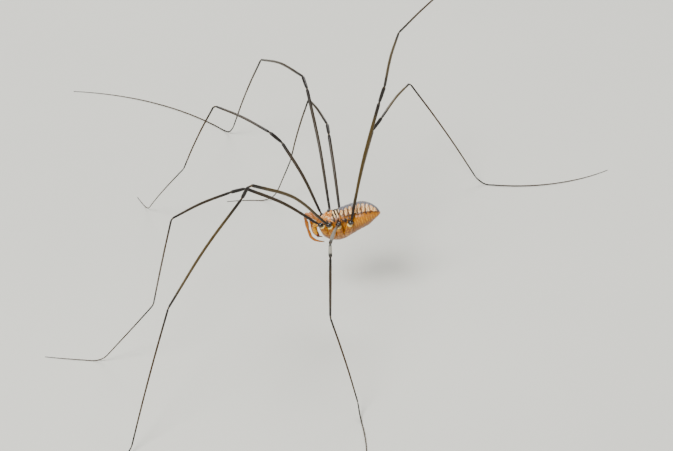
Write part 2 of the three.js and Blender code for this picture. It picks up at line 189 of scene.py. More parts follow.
# The mouthparts: thin pale cuticle that lets a little light in, so they look warm.
PALP_CHITIN = chitin("orange_mouthpart_chitin", roughness=0.34, mottle=0.12, pore_mm=0.05, bump=0.25,
                     coat=0.16, glow=0.06)
CHITINS = (BODY_CHITIN, LEG_CHITIN, BALL_CHITIN, PALP_CHITIN)
print("materials:", [material.name for material in CHITINS])

# %% [markdown]
# Every new piece is a grid: rings of points along its length, closed round its waist and
# closed at both ends by a pole. A cage with a Subdivision Surface would do as well, but
# on a grid each point knows how far along and how far round it lies, and the markings
# need both. One function turns such an array into a mesh and sees that the faces point
# outwards: if the volume that they enclose comes out below zero, all of them are turned
# round. Another stores the paint of each point.

# %% Grid surfaces


def grid_faces(rings, sides):
    """Quads between neighbouring rings, the last side joined back to the first."""
    ring, side = np.meshgrid(np.arange(rings - 1), np.arange(sides), indexing="ij")
    beside = (side + 1) % sides
    quads = np.stack([ring * sides + side, ring * sides + beside,
                      (ring + 1) * sides + beside, (ring + 1) * sides + side], axis=-1)
    return quads.reshape(-1, 4)


def put_in_scene(name, mesh, colours, material):
    """Stores a linear colour for each point and lets the new piece ride the body."""
    attribute = mesh.attributes.new("paint", "FLOAT_COLOR", "POINT")
    attribute.data.foreach_set("color", np.c_[colours, np.ones(len(colours))].ravel())
    piece = bpy.data.objects.new(name, mesh)
    bpy.context.collection.objects.link(piece)
    mesh.materials.append(material)
    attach(piece, "root")
    return piece


def make_piece(name, points, paint, material, replaced=()):
    """A closed mesh from (rings, sides, 3) points in metres, each with a linear colour."""
    rings, sides, _ = points.shape
    body = points.reshape(-1, 3)
    vertices = np.vstack([body, points[0].mean(axis=0), points[-1].mean(axis=0)])
    colours = np.vstack([paint.reshape(-1, 3), paint[0].mean(axis=0), paint[-1].mean(axis=0)])
    side = np.arange(sides)
    beside = (side + 1) % sides
    front = np.stack([beside, side, np.full(sides, rings * sides)], axis=-1)
    last = (rings - 1) * sides
    back = np.stack([last + side, last + beside, np.full(sides, rings * sides + 1)], axis=-1)
    quads = grid_faces(rings, sides)
    halves = np.vstack([quads[:, [0, 1, 2]], quads[:, [0, 2, 3]], front, back])
    a, b, c = (vertices[halves[:, i]] for i in range(3))
    if np.einsum("ij,ij->i", a, np.cross(b, c)).sum() < 0:
        quads, front, back = quads[:, ::-1], front[:, ::-1], back[:, ::-1]
    mesh = bpy.data.meshes.new(name)
    mesh.from_pydata(vertices.tolist(), [], quads.tolist() + front.tolist() + back.tolist())
    mesh.polygons.foreach_set("use_smooth", np.ones(len(mesh.polygons), bool))
    piece = put_in_scene(name, mesh, colours, material)
    if replaced:
        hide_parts(*replaced)
    print(name, "has", len(mesh.polygons), "faces")


# %% [markdown]
# Shapes and markings are built from a few small curves: a smooth line through given points, a soft step,
# a bell curve and a ripple that stands in for nature's unevenness. A shader's noise can't move points, so
# the ripple is worked out here. For patterns, 6.28 is near enough to a full turn.

# %% Curves and noise
FULL_TURN = 6.28
WAVES = 9
WAVE_PITCHES = (0.6, 1.7)
WAVE_SUM = 4.2


def outline(line, x):
    """A smooth curve through given points: cubic pieces whose slopes join neighbours."""
    at, value = np.array(line, float).T
    slope = np.gradient(value, at)
    slope[0] = (value[1] - value[0]) / (at[1] - at[0])
    slope[-1] = (value[-1] - value[-2]) / (at[-1] - at[-2])
    x = np.clip(x, at[0], at[-1])
    i = np.clip(np.searchsorted(at, x) - 1, 0, len(at) - 2)
    span = at[i + 1] - at[i]
    t = (x - at[i]) / span
    rise = value[i + 1] - value[i]
    start_pull = slope[i] * span - rise
    end_pull = rise - slope[i + 1] * span
    return value[i] + rise * t + t * (1 - t) * (start_pull * (1 - t) + end_pull * t)


def ripple(x, y, seed, size):
    """Cheap smooth noise, mostly between -1 and 1: a sum of waves in random directions."""
    draw = np.random.default_rng(seed)
    angles = draw.uniform(0, FULL_TURN, WAVES)
    phases = draw.uniform(0, FULL_TURN, WAVES)
    pitches = draw.uniform(*WAVE_PITCHES, WAVES)
    total = np.zeros_like(x, float)
    for angle, phase, pitch in zip(angles, phases, pitches):
        ahead = x * math.cos(angle) + y * math.sin(angle)
        total = total + np.sin(ahead * FULL_TURN / size * pitch + phase)
    return total / WAVE_SUM


def all_over(colour, shape):
    """One colour for every point of a grid."""
    return np.broadcast_to(colour, shape).copy()


def blend(under, over, mask):
    """Lays one colour over another where the mask is 1."""
    mask = np.clip(mask, 0, 1)[..., None]
    return under * (1 - mask) + over * mask


def soft_step(value, low, high):
    """0 below low, 1 above high, with a smooth S between."""
    t = np.clip((value - low) / (high - low), 0, 1)
    return t * t * (3 - 2 * t)


def bumps_at(x, places, width):
    """A sum of bell curves centred on the given places."""
    return sum(np.exp(-(((x - place) / width) ** 2)) for place in places)


print("a soft step a quarter of the way up:", soft_step(0.25, 0, 1))

# %% [markdown]
# The trunk is a harvestman's whole body: head shield and hind body meet on a broad front,
# with no waist. Its outline is three lines: back, belly and flank. A fourth line says how
# high the widest point of each ring lies, and the upper and the lower half of the ring
# are half ellipses that fit them. It could be sculpted, but four lines are quick to read
# and to change. A point says how far behind the body's middle it lies, in millimetres,
# and its height or width there.

# %% Trunk shape
BACK_LINE = [(-3.25, 0.1), (-3.05, 0.85), (-2.5, 1.45), (-0.5, 1.88), (1.6, 2.12), (2.7, 2.04),
             (3.4, 1.72), (4.0, 1.22), (4.35, 0.72), (4.5, 0.3)]
BELLY_LINE = [(-3.25, -0.1), (-3.05, -0.8), (-2.5, -1.55), (-1.5, -1.95), (-0.5, -1.98), (0.6, -1.6),
              (1.9, -1.12), (2.95, -0.78), (3.7, -0.32), (4.25, 0.0), (4.5, 0.18)]
SIDE_LINE = [(-3.25, 0.1), (-3.05, 0.75), (-2.5, 1.15), (-1.5, 1.4), (-0.3, 1.55), (0.7, 1.75),
             (1.5, 2.0), (2.3, 2.08), (3.1, 1.8), (3.8, 1.22), (4.3, 0.6), (4.5, 0.1)]
WAIST_LINE = [(-3.25, 0.0), (-1.0, 0.1), (1.5, 0.45), (3.5, 0.4), (4.5, 0.24)]
BACK_GROOVES = [0.25, 0.83, 1.38, 1.95, 2.5, 3.0, 3.48, 3.9, 4.25]
HEAD_GROOVES = [-1.05, -0.62, -0.28]
BELLY_GROOVES = [1.25, 1.9, 2.5, 3.05, 3.55, 3.95]
TRUNK_MIDDLE = 0.625
TRUNK_HALF = 3.875
END_FULLNESS = 4
TRUNK_RINGS = 330
TRUNK_SIDES = 220

along = np.linspace(-1, 1, TRUNK_RINGS + 2)[1:-1]
around = np.linspace(-math.pi, math.pi, TRUNK_SIDES, endpoint=False)
share, theta = np.meshgrid(along, around, indexing="ij")
x = TRUNK_MIDDLE + TRUNK_HALF * np.sin(share * math.pi / 2)
round_off = np.minimum(1, END_FULLNESS * np.sqrt(1 - share ** 2))
waist = outline(WAIST_LINE, x)
aloft = np.cos(theta)
lean = np.abs(theta)
reach = np.where(aloft > 0, outline(BACK_LINE, x) - waist, waist - outline(BELLY_LINE, x)) * round_off
width = outline(SIDE_LINE, x) * round_off
print("trunk grid:", x.shape)

# %% [markdown]
# Small relief makes the plates read: each groove is a bell curve that dips inwards. A
# bump map would be lighter but would leave the outline smooth, so the points move. Folds
# run down the flank, where the skin gives as the hind body fills and empties, and a long
# crease parts flank and back. An oval groove under the front of the body is the rim of
# the genital plate. A ring is scaled to make a dip, so its depth in millimetres is true
# where the ring's radius is the usual one and a little less where it is smaller.

# %% Trunk relief
FLANK_LEAN = 1.75
CREASE_LEAN = 1.15
FOLD_PITCH = 0.29
BACK_WIDTH, BACK_DEPTH = 0.055, 0.045
HEAD_WIDTH, HEAD_DEPTH = 0.06, 0.05
BELLY_WIDTH, BELLY_DEPTH = 0.06, 0.04
FOLD_DEPTH, CREASE_DEPTH, RIM_DEPTH, GRAIN_DEPTH = 0.02, 0.03, 0.045, 0.008
PLATE_MIDDLE, PLATE_HALF_LENGTH, PLATE_HALF_WIDTH = -1.0, 1.15, 0.42
USUAL_RADIUS = 1.6

on_back = soft_step(aloft, 0.0, 0.5)
on_belly = soft_step(-aloft, 0.25, 0.6)
on_underside = soft_step(-aloft, 0.5, 0.7)
on_flank = bumps_at(lean, [FLANK_LEAN], 0.5) * soft_step(x, -0.2, 0.8)
dip = bumps_at(x, BACK_GROOVES, BACK_WIDTH) * on_back * BACK_DEPTH
dip += bumps_at(x, HEAD_GROOVES, HEAD_WIDTH) * on_back * HEAD_DEPTH
dip += bumps_at(x, BELLY_GROOVES, BELLY_WIDTH) * on_belly * BELLY_DEPTH
dip += (0.5 + 0.5 * np.cos(x * FULL_TURN / FOLD_PITCH)) * on_flank * FOLD_DEPTH
dip += bumps_at(lean, [CREASE_LEAN], 0.07) * soft_step(x, -0.4, 0.4) * CREASE_DEPTH
dip += ripple(x, theta * 1.6, 5, 0.5) * GRAIN_DEPTH
plate_rim = np.hypot(width * np.sin(theta) / PLATE_HALF_WIDTH, (x - PLATE_MIDDLE) / PLATE_HALF_LENGTH) - 1
dip += bumps_at(plate_rim, [0], 0.07) * on_underside * RIM_DEPTH
fit = 1 - dip / USUAL_RADIUS
trunk = np.stack([x, width * fit * np.sin(theta), waist + reach * fit * aloft], axis=-1)
print("deepest dip, mm:", round(float(dip.max()), 3))

# %% [markdown]
# The flank is clear amber with paler bands. The underside is darkened with painted shade, deepest in its
# grooves, apart from the genital plate. A brown row runs along the hind body beside the middle of the
# back, as the ground for the blotches. Each marking is a mask between 0 and 1 that lays one more colour
# over the last. Places round the trunk are angles from the middle of the back, in radians.

# %% Ground colours
SLATE = linear("#45434a")
PALE_SLATE = linear("#8c8a92")
CREAM = linear("#fbd59a")
PEACH = linear("#d8842c")
AMBER = linear("#a05e00")
PALE_AMBER = linear("#dc9c10")
# Deep amber serves as painted shade on the underside and for the dark lines on the coxae.
DEEP_AMBER = linear("#683a00")
TAIL_AMBER = linear("#b05f10")
BROWN = linear("#452208")
BLACK = linear("#120d0a")
ROW_LEAN = 1.02

wobble = ripple(x, theta * 1.5, 11, 0.45)
fine = ripple(x * 2, theta * 3, 41, 0.3)
paint = all_over(AMBER, x.shape + (3,))
bands = bumps_at(x, np.arange(-2.6, 4.4, FOLD_PITCH), 0.07) * on_flank
paint = blend(paint, PALE_AMBER, 0.8 * bands * (0.7 + 0.6 * wobble))
# Painted shade: the underside is darkened, and its grooves more so.
paint = blend(paint, DEEP_AMBER, 0.75 * soft_step(-aloft, -0.1, 0.7) * (0.8 + 0.3 * wobble))
paint = blend(paint, DEEP_AMBER, 0.8 * bumps_at(x, BELLY_GROOVES, 0.05) * on_belly)
paint = blend(paint, AMBER, 0.7 * (1 - soft_step(plate_rim, -0.3, 0.0)) * on_underside)
hind = soft_step(x, -0.4, -0.2)
row_low = ROW_LEAN + 0.06 * wobble - 0.14 * soft_step(0.6 - x, 0, 0.5)
under_row = soft_step(lean, 0.1, 0.2) * (1 - soft_step(lean, row_low, row_low + 0.1))
paint = blend(paint, BROWN, hind * under_row)
print("the brown row covers", round(float((hind * under_row).mean()) * 100, 1), "per cent of the grid")

# %% [markdown]
# Each hind plate carries a cream blotch, and the brown row shows between two of them. A
# blotch is a flat-topped bell along the body: the fourth power in place of the square
# makes the top flat and the edges crisp. It starts at the scalloped edge of the saddle
# and ends at the foot of the row. Here and there a thin brown slit runs down it.

# %% Blotches
BLOTCH_CENTRES = [-0.02, 0.54, 1.1, 1.72, 2.2, 2.7, 3.2, 3.66, 4.05]
BLOTCH_HALF_WIDTH = 0.175
SLIT_BEHIND = 0.05
SADDLE_EDGE = [(-0.6, 0.4), (0.2, 0.36), (1.5, 0.22), (2.6, 0.2), (3.7, 0.26), (4.4, 0.5)]

half_width = BLOTCH_HALF_WIDTH + 0.025 * wobble
blotches = sum(np.exp(-(((x - centre) / half_width) ** 4)) for centre in BLOTCH_CENTRES)
scallop = outline(SADDLE_EDGE, x) + 0.03 * wobble
patch_row = soft_step(lean, scallop, scallop + 0.05) * (1 - soft_step(lean, row_low - 0.1, row_low))
broken = soft_step(ripple(x, theta, 23, 0.9), -0.1, 0.3)
slit = bumps_at(x, np.array(BLOTCH_CENTRES) + SLIT_BEHIND, 0.022) * broken
cream = np.clip(blotches, 0, 1) * patch_row * hind * (1 - 0.85 * slit)
tone = blend(CREAM, PEACH, soft_step(ripple(x, theta * 2, 31, 0.35), -0.3, 0.6))
paint = blend(paint, tone, cream)
print("cream covers", round(float(cream.mean()) * 100, 1), "per cent of the grid")

# %% [markdown]
# The saddle lies over the blotches like spilt ink: it fills the strip along the middle of
# the back and reaches down between two blotches. It is slate with paler clouds and a
# black rim. Its clouds are a ripple read at places that other ripples have pushed about,
# which looks more like ink than a plain one. Dark spots sit under the gaps.

# %% Saddle and spots
GAP_BEHIND = 0.26
SPOT_BELOW = 0.08
TAIL_START = 4.05

at_saddle = soft_step(x, -0.95, -0.7)
reach_down = scallop + 0.2 * (1 - np.clip(blotches, 0, 1))
saddle = (1 - soft_step(lean, reach_down - 0.03, reach_down + 0.03)) * at_saddle
cloudy = soft_step(ripple(x * 1.3 + 0.4 * fine, theta * 1.9 + 0.3 * wobble, 43, 0.5), -0.6, 0.8)
paint = blend(paint, blend(SLATE, PALE_SLATE, 0.15 + 0.55 * cloudy), saddle)
rim = bumps_at(lean, [reach_down], 0.05) * at_saddle
paint = blend(paint, BLACK, 0.75 * rim * (0.7 + 0.6 * wobble))
paint = blend(paint, BLACK, 0.6 * saddle * bumps_at(x, BACK_GROOVES, 0.04))
spots = bumps_at(x, np.array(BLOTCH_CENTRES) + GAP_BEHIND, 0.1)
spots = spots * bumps_at(lean - row_low, [SPOT_BELOW], 0.08)
paint = blend(paint, BLACK, 0.95 * hind * np.clip(spots * 1.6 * (0.8 + 0.5 * wobble), 0, 1))
paint = blend(paint, SLATE, 0.8 * soft_step(x, TAIL_START, 4.2) * soft_step(0.9 - lean, 0, 0.2))
print("the saddle covers", round(float(saddle.mean()) * 100, 1), "per cent of the grid")

# %% [markdown]
# The head shield is peach with patches of cream and a brown scrawl. The scrawl is where a
# noise passes through zero, which draws winding lines.

# %% Head shield
head = 1 - soft_step(x, -1.1, -0.8)
scrawl = np.abs(ripple(x, theta * 1.3, 51, 0.5))
shield = soft_step(1.2 - lean, 0.0, 0.15)
paint = blend(paint, PEACH, head * shield)
paint = blend(paint, CREAM, 0.7 * head * shield * soft_step(ripple(x, theta, 57, 0.6), 0.15, 0.5))
paint = blend(paint, BROWN, 0.9 * head * shield * (1 - soft_step(scrawl, 0.07, 0.26)))
print("the shield covers", round(float((head * shield).mean()) * 100, 1), "per cent of the grid")

# %% [markdown]
# Behind the eye mound lie short slanting bars of cream and black, and a broken black line
# runs above the leg joints. The tip of the tail is plain amber. With that the skin's
# paint is done, and one piece takes the place of the front and the hind body.

# %% Bars, seam and body skin
BAR_PITCH = 0.36
BAR_START = 0.42
SEAM_LEAN = 1.12

middle_bars = soft_step(x, -1.3, -1.2) * (1 - soft_step(x, -0.4, -0.3))
slant = x - 0.35 * (lean - 0.5)
bars = soft_step(np.cos((slant - BAR_START + 0.03 * wobble) * FULL_TURN / BAR_PITCH), 0.1, 0.5)
bar_zone = middle_bars * soft_step(0.95 + 0.1 * wobble - lean, 0, 0.1)
paint = blend(paint, BLACK, 0.95 * bar_zone)
paint = blend(paint, CREAM, bar_zone * bars * soft_step(lean, 0.12, 0.25))
paint = blend(paint, BROWN, 0.8 * middle_bars * shield * (1 - bar_zone) * soft_step(fine, -0.5, 0.2))
level = SEAM_LEAN + 0.2 * soft_step(x, -1.2, 0.2) + 0.06 * wobble
seam = bumps_at(lean, [level], 0.17) * (1 - soft_step(x, 0.7, 1.2)) * soft_step(x, -2.7, -2.3)
broken = soft_step(ripple(x * 1.4, theta, 61, 0.5), -0.6, -0.15)
paint = blend(paint, BLACK, 0.95 * np.clip(seam * 1.4, 0, 1) * broken)
paint = blend(paint, TAIL_AMBER, 0.9 * soft_step(x, 4.38, 4.45))
make_piece("body_skin", from_body(trunk), paint, BODY_CHITIN, ("prosoma", "abdomen"))

# %% [markdown]
# Coxae, legs and mouthparts are all tubes: a circle is carried along a smooth path, its
# radius changes on the way, and each end shrinks to a round nose. A curve with a bevel
# would look the same, but these tubes also say which way the skin faces at each point,
# and the bristles need that.

# %% Tubes along a path
FEWEST_POINTS = 8
NOSE_TIP = 0.0004


def smooth_path(points, step):
    """Walks a smooth curve through given points at even steps, each column alike."""
    points = np.asarray(points, float)
    runs = np.r_[0, np.cumsum(np.linalg.norm(np.diff(points[:, :3], axis=0), axis=1))]
    even = np.linspace(0, runs[-1], max(int(runs[-1] / step), FEWEST_POINTS))
    return np.stack([outline(np.c_[runs, column], even) for column in points.T], axis=-1), even


def tube(centres, radii, sides, up=(0, 0, 1)):
    """Rings round a path: a level vector and one at right angles carry a circle along it."""
    tangent = np.gradient(centres, axis=0)
    tangent /= np.linalg.norm(tangent, axis=1, keepdims=True)
    level = np.cross(tangent, np.array(up, float))
    level /= np.maximum(np.linalg.norm(level, axis=1, keepdims=True), 1e-9)
    over = np.cross(level, tangent)
    turn_by = np.linspace(0, 2 * math.pi, sides, endpoint=False)
    normal = level[:, None] * np.cos(turn_by)[:, None] + over[:, None] * np.sin(turn_by)[:, None]
    return centres[:, None] + normal * np.asarray(radii).reshape(len(centres), -1)[..., None], normal


def rounded_ends(distance, radius):
    """Shrinks the radius to a round nose at each end: the height of a circle there."""
    from_end = np.minimum(distance - distance[0], distance[-1] - distance)
    return radius * np.sqrt(np.clip(1 - (1 - np.minimum(from_end / radius, 1)) ** 2, NOSE_TIP, 1))


def length_and_angle(run, sides):
    """For every point of a tube, its share of the length and its angle round the tube."""
    share_of_run = (run / run[-1])[:, None] + np.zeros((len(run), sides))
    angle = np.linspace(0, FULL_TURN, sides, endpoint=False)[None] + np.zeros_like(share_of_run)
    return share_of_run, angle


elbow, elbow_run = smooth_path([(0, 0, 0), (1, 0, 0), (1, 1, 0)], 0.1)
print("an elbow with arms of 1 mm has", len(elbow), "points along", elbow_run[-1], "mm")

# %% [markdown]
# Each leg hangs on a coxa, a stout joint that runs from the animal's underside up to a black ball at the
# flank. It is a tube with a bulging middle, sunk into the body skin and into its neighbours, so no seam
# has to be fitted. It is darker amber than the flank, which is painted shade under the body, and has
# paler clouds, dark lines along it and a pale rim at the end that holds the ball.

# %% Coxae
HIPS = [(-2.75, 1.75, 0.85), (-1.75, 1.95, 0.7), (-0.6, 2.1, 0.55), (0.95, 2.2, 0.5)]
COXA_ROOTS = [(-2.1, 0.55, -0.95), (-1.45, 0.6, -1.35), (-0.75, 0.6, -1.4), (-0.1, 0.65, -1.2)]
ROOT_RADIUS, BULGE_RADIUS, TIP_RADIUS = 0.6, 0.52, 0.36
TIP_GAP = 0.26
BULGE = 0.22
TUBE_STEP = 0.03
COXA_SIDES = 40
# The coxae's darker amber is painted shade.
SHADED_COXA_AMBER = linear("#8c4e00")
COXA_RIM = linear("#e8cf7c")


def coxa(name, hip, root):
    """A bulging tube from the underside to the hip, pale at the rim that holds the ball."""
    hip, root = np.array(hip), np.array(root)
    tip = hip + (root - hip) / np.linalg.norm(root - hip) * TIP_GAP
    middle = (root + tip) / 2 + np.array([0, np.sign(hip[1]) * BULGE, 0])
    stops = [(*root, ROOT_RADIUS), (*middle, BULGE_RADIUS), (*tip, TIP_RADIUS)]
    path, run = smooth_path(stops, TUBE_STEP)
    rings, _ = tube(path[:, :3], rounded_ends(run, path[:, 3]), COXA_SIDES)
    far, angle = length_and_angle(run, COXA_SIDES)
    cloud = ripple(far * 3, angle, int(abs(hip[0] * 100)), 0.9)
    lines = np.exp(-((np.cos(angle * 3) / 0.2) ** 2)) * soft_step(far, 0.1, 0.3)
    at_rim = soft_step(far, 0.9, 0.93) * (1 - soft_step(far, 0.96, 0.99))
    # Painted shade: the coxa's ground is a darker amber than the flank.
    paint = blend(all_over(SHADED_COXA_AMBER, rings.shape), PALE_AMBER, 0.45 * soft_step(cloud, -0.2, 0.6))
    paint = blend(paint, DEEP_AMBER, 0.75 * lines * (1 - soft_step(far, 0.8, 0.9)))
    paint = blend(paint, COXA_RIM, at_rim)
    make_piece(name, from_body(rings), paint, BODY_CHITIN, ("prosoma",))


for side_name, sign in SIDES:
    mirror = np.array([1, sign, 1])
    for number, (hip, root) in enumerate(zip(HIPS, COXA_ROOTS), 1):
        coxa(f"coxa_{side_name}_{number}", hip * mirror, root * mirror)

# %% [markdown]
# A leg is a chain of tubes: a black ball, a long femur, a short knee, then tibia,
# metatarsus and a whip of a foot. The solids already stand in the pose, so each leg's
# middle line is read from them. It could be typed in again, but then solids and skin
# might drift apart. A solid is rings of points between two poles, and a pole is known by
# the eight edges that meet there. Walking out from a pole, each step over the edges
# reaches the next ring, and the mean of a ring lies on the middle line.

# %% Leg middle lines
LEG_NAMES = [f"{side_name}_{number}" for side_name, _ in SIDES for number in (1, 2, 3, 4)]
SEGMENTS = ["femur", "patella", "tibia", "metatarsus", "tarsus"]
POLE_EDGES = 8
LINE_STEP = 0.4


def solid_edges(name):
    """The distinct points of a solid in millimetres, and both directions of each edge."""
    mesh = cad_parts[name].data
    points = np.empty(len(mesh.vertices) * 3)
    mesh.vertices.foreach_get("co", points)
    points, home = np.unique(np.round(points.reshape(-1, 3) / MM, 4), axis=0, return_inverse=True)
    ends = np.empty(len(mesh.edges) * 2, int)
    mesh.edges.foreach_get("vertices", ends)
    ends = np.sort(home.ravel()[ends].reshape(-1, 2), axis=1)
    ends = np.unique(ends[ends[:, 0] != ends[:, 1]], axis=0)
    return points, np.vstack([ends, ends[:, ::-1]])


def middle_line(name, start):
    """Steps from the pole nearest to start, ring by ring, and takes the mean of each.

    The ring beside each pole rounds off the solid's end, so it is left out.
    """
    points, edges = solid_edges(name)
    poles = np.flatnonzero(np.bincount(edges[:, 0], minlength=len(points)) >= POLE_EDGES)
    pole = poles[np.argmin(np.linalg.norm(points[poles] - start, axis=1))]
    reached = np.arange(len(points)) == pole
    line = [points[pole]]
    while not reached.all():
        ring = np.unique(edges[reached[edges[:, 0]] & ~reached[edges[:, 1]], 1])
        line.append(points[ring].mean(axis=0))
        reached[ring] = True
    return np.array([line[0], *line[2:-2], line[-1]])


def leg_course(leg):
    """Joins the segments' middle lines and notes where each segment begins and ends."""
    low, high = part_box(f"{leg}_trochanter")
    hip = (np.array(low) + np.array(high)) / 2 / MM
    lines, marks, last = [hip[None]], [], hip
    for segment in SEGMENTS:
        line, _ = smooth_path(middle_line(f"{leg}_{segment}", last), LINE_STEP)
        lines.append(line)
        last = line[-1]
    course = np.vstack(lines)
    runs = np.r_[0, np.cumsum(np.linalg.norm(np.diff(course, axis=0), axis=1))]
    edge = np.cumsum([1] + [len(line) for line in lines[1:]])
    for first, after in zip(edge[:-1], edge[1:]):
        marks.append((runs[first], runs[after - 1]))
    return course, runs, marks


print("leg lengths, mm:", {leg: round(float(leg_course(leg)[1][-1]), 1) for leg in LEG_NAMES})

# %% [markdown]
# Thickness and colour follow the same distances along the leg, so a dark end always falls
# on a joint. Femur and tibia are olive-brown with black ends, on some legs paler than on
# The knee is a black swelling, a rim of dull brown skin follows each segment, and the foot thins out over
# dozens of tiny joints. The near third leg has a pale grey painted highlight on its femur and knee.

# %% Leg radii and colours
OLIVE = linear("#44340c")
DARK_OLIVE = linear("#2c2110")
LEG_BROWN = linear("#38260e")
LEG_BLACK = linear("#140e09")
JOINT_SKIN = linear("#6e5a34")
# Pale grey of a painted highlight on the near third leg.
PAINTED_SHEEN_GREY = linear("#8e8c80")
PALER_LEGS = ("left_2", "left_4", "right_4")
SHEEN_LEG = "left_3"
NECK, SWELL = 0.72, 0.28
FOOT_JOINT_MM = 0.42
LEG_RADII = {"femur": (0.16, 0.2, 0.21), "patella": (0.18, 0.22, 0.22), "tibia": (0.17, 0.165, 0.135),
             "metatarsus": (0.12, 0.105, 0.09), "tarsus": (0.085, 0.07, 0.035)}


def foot_wave(run, begin):
    """A wave along the foot, at its height in the middle of each tiny joint."""
    return np.cos((run - begin) * FULL_TURN / FOOT_JOINT_MM)


def segment_radius(segment, run, begin, end):
    """A parabola through the segment's first, middle and last radius, with a neck at both ends."""
    t = np.clip((run - begin) / (end - begin), 0, 1)
    low, middle, high = LEG_RADII[segment]
    shape = low + (high - low) * t + 4 * t * (1 - t) * (middle - (low + high) / 2)
    neck = NECK + SWELL * soft_step(run - begin, -0.12, 0.16) * soft_step(end - run, -0.12, 0.14)
    joints = 1 + 0.07 * foot_wave(run, begin) if segment == "tarsus" else 1
    return shape * neck * joints


def segment_paint(leg, segment, run, begin, end):
    """The segment's tint with black ends, then a painted highlight on one leg and the joints of the foot.
    """
    t = np.clip((run - begin) / (end - begin), 0, 1)
    long_tint = OLIVE if leg in PALER_LEGS else DARK_OLIVE
    tint = long_tint if segment in ("femur", "tibia") else LEG_BROWN
    dark_ends = np.clip(1 - soft_step(t, 0.04, 0.3) + soft_step(t, 0.8, 0.96), 0, 1)
    shade = blend(tint, LEG_BLACK, 0.95 * dark_ends)
    if segment == "patella":
        shade = all_over(LEG_BLACK, shade.shape)
    # Painted highlight: a pale grey sheen on the near third leg's femur and knee.
    if (leg, segment) == (SHEEN_LEG, "femur"):
        shade = blend(shade, PAINTED_SHEEN_GREY, 0.55 * soft_step(t, 0.1, 0.5) * (1 - soft_step(t, 0.9, 0.97)))
    if (leg, segment) == (SHEEN_LEG, "patella"):
        shade = blend(shade, PAINTED_SHEEN_GREY, soft_step(t, 0.05, 0.25) * (1 - soft_step(t, 0.7, 0.9)))
    if segment == "tarsus":
        shade = blend(shade, LEG_BLACK, 0.5 * (0.5 - 0.5 * foot_wave(run, begin)) ** 4)
    return shade


print("radii in the middle of each segment, mm:", {name: radii[1] for name, radii in LEG_RADII.items()})

# %% [markdown]
# The skin is one tube from the hip to the claw, because six tubes end to end would show a
# seam at every joint. Its line is smoothed first, which rounds the bends. The solid foot
# is thicker than the skin's and its middle line runs higher, so the thin foot is lowered
# onto the floor, by less and less further up the leg. The raised leg stays where it is.

# %% Leg skins
HIP_BALL = 0.27
LEG_STEP = 0.07
LEG_SIDES = 14
SMOOTHING = 9
JOINT_OVERLAP = 0.15
JOINT_RADIUS = 0.12
RIM_BEHIND, RIM_WIDTH = 0.12, 0.06
FOOT_HEIGHT = 0.165
RAISED_ABOVE = 1
leg_records = {}


def smoothed(line):
    """Each point becomes a weighted mean of its neighbours, the weights a cosine hump."""
    window = np.hanning(SMOOTHING) / np.hanning(SMOOTHING).sum()
    padded = np.pad(line, ((SMOOTHING // 2, SMOOTHING // 2), (0, 0)), mode="edge")
    return np.stack([np.convolve(padded[:, i], window, "valid") for i in range(3)], axis=-1)


def lower_foot(centres, radius):
    """Brings a standing foot down to its own radius: the shift shrinks as e to the minus height."""
    foot_height = max(FOOT_HEIGHT, centres[:, 2].min())
    if foot_height < RAISED_ABOVE:
        centres[:, 2] -= (foot_height - radius) * np.exp(-(centres[:, 2] - foot_height))


def leg_skin(leg):
    """One skin for a whole leg, its radius and paint set by where each segment lies."""
    course, runs, marks = leg_course(leg)
    run = np.arange(0, runs[-1], LEG_STEP)
    centres = smoothed(np.stack([np.interp(run, runs, course[:, i]) for i in range(3)], axis=-1))
    radius = np.full(run.shape, JOINT_RADIUS)
    paint = all_over(LEG_BROWN, (len(run), 3))
    for segment, (begin, end) in zip(SEGMENTS, marks):
        inside = (run >= begin - JOINT_OVERLAP) & (run <= end + JOINT_OVERLAP)
        radius = np.where(inside, segment_radius(segment, run, begin, end), radius)
        paint = np.where(inside[:, None], segment_paint(leg, segment, run, begin, end), paint)
        rim = bumps_at(run - end, [RIM_BEHIND], RIM_WIDTH) * (segment != "tarsus")
        paint = blend(paint, JOINT_SKIN, 0.3 * rim)
    ball = HIP_BALL * np.sqrt(np.clip(1 - (run / (HIP_BALL * 1.1)) ** 2, 0, 1))
    paint = blend(paint, LEG_BLACK, 1 - soft_step(run, HIP_BALL, HIP_BALL * 1.5))
    radius = rounded_ends(run, np.maximum(radius, ball))
    lower_foot(centres, radius)
    rings, normal = tube(centres, radius, LEG_SIDES)
    rings[..., 2] = np.maximum(rings[..., 2], 0)
    leg_records[leg] = (centres, radius, normal, run)
    spread = np.broadcast_to(paint[:, None], rings.shape)
    nodes = [f"{leg}_{segment}" for segment in ["trochanter", *SEGMENTS]]
    make_piece(f"{leg}_skin", rings * MM, spread, LEG_CHITIN, nodes)


for leg in LEG_NAMES:
    leg_skin(leg)

# %% [markdown]
# The leg base is a glossy black ball that sits in the end of its coxa. The leg skin has a
# swelling of its own there, but it is satin. The ball is a bit bigger and covers it, and
# the leg grows out of the ball.

# %% Hip balls
HIP_BALL_RADII = (0.36, 0.31, 0.3)
HIP_BALL_RINGS = 24
POLE_HOLE = 0.02


def egg(centre, radii, rings):
    """A squashed ball: rings of sin(angle) set along X by cos(angle), scaled per axis."""
    polar, azimuth = np.meshgrid(np.linspace(POLE_HOLE, math.pi - POLE_HOLE, rings),
                                 np.linspace(0, 2 * math.pi, rings, endpoint=False), indexing="ij")
    across = np.sin(polar)
    ball = np.stack([np.cos(polar), across * np.cos(azimuth), across * np.sin(azimuth)], axis=-1)
    return np.asarray(centre) + ball * np.asarray(radii)


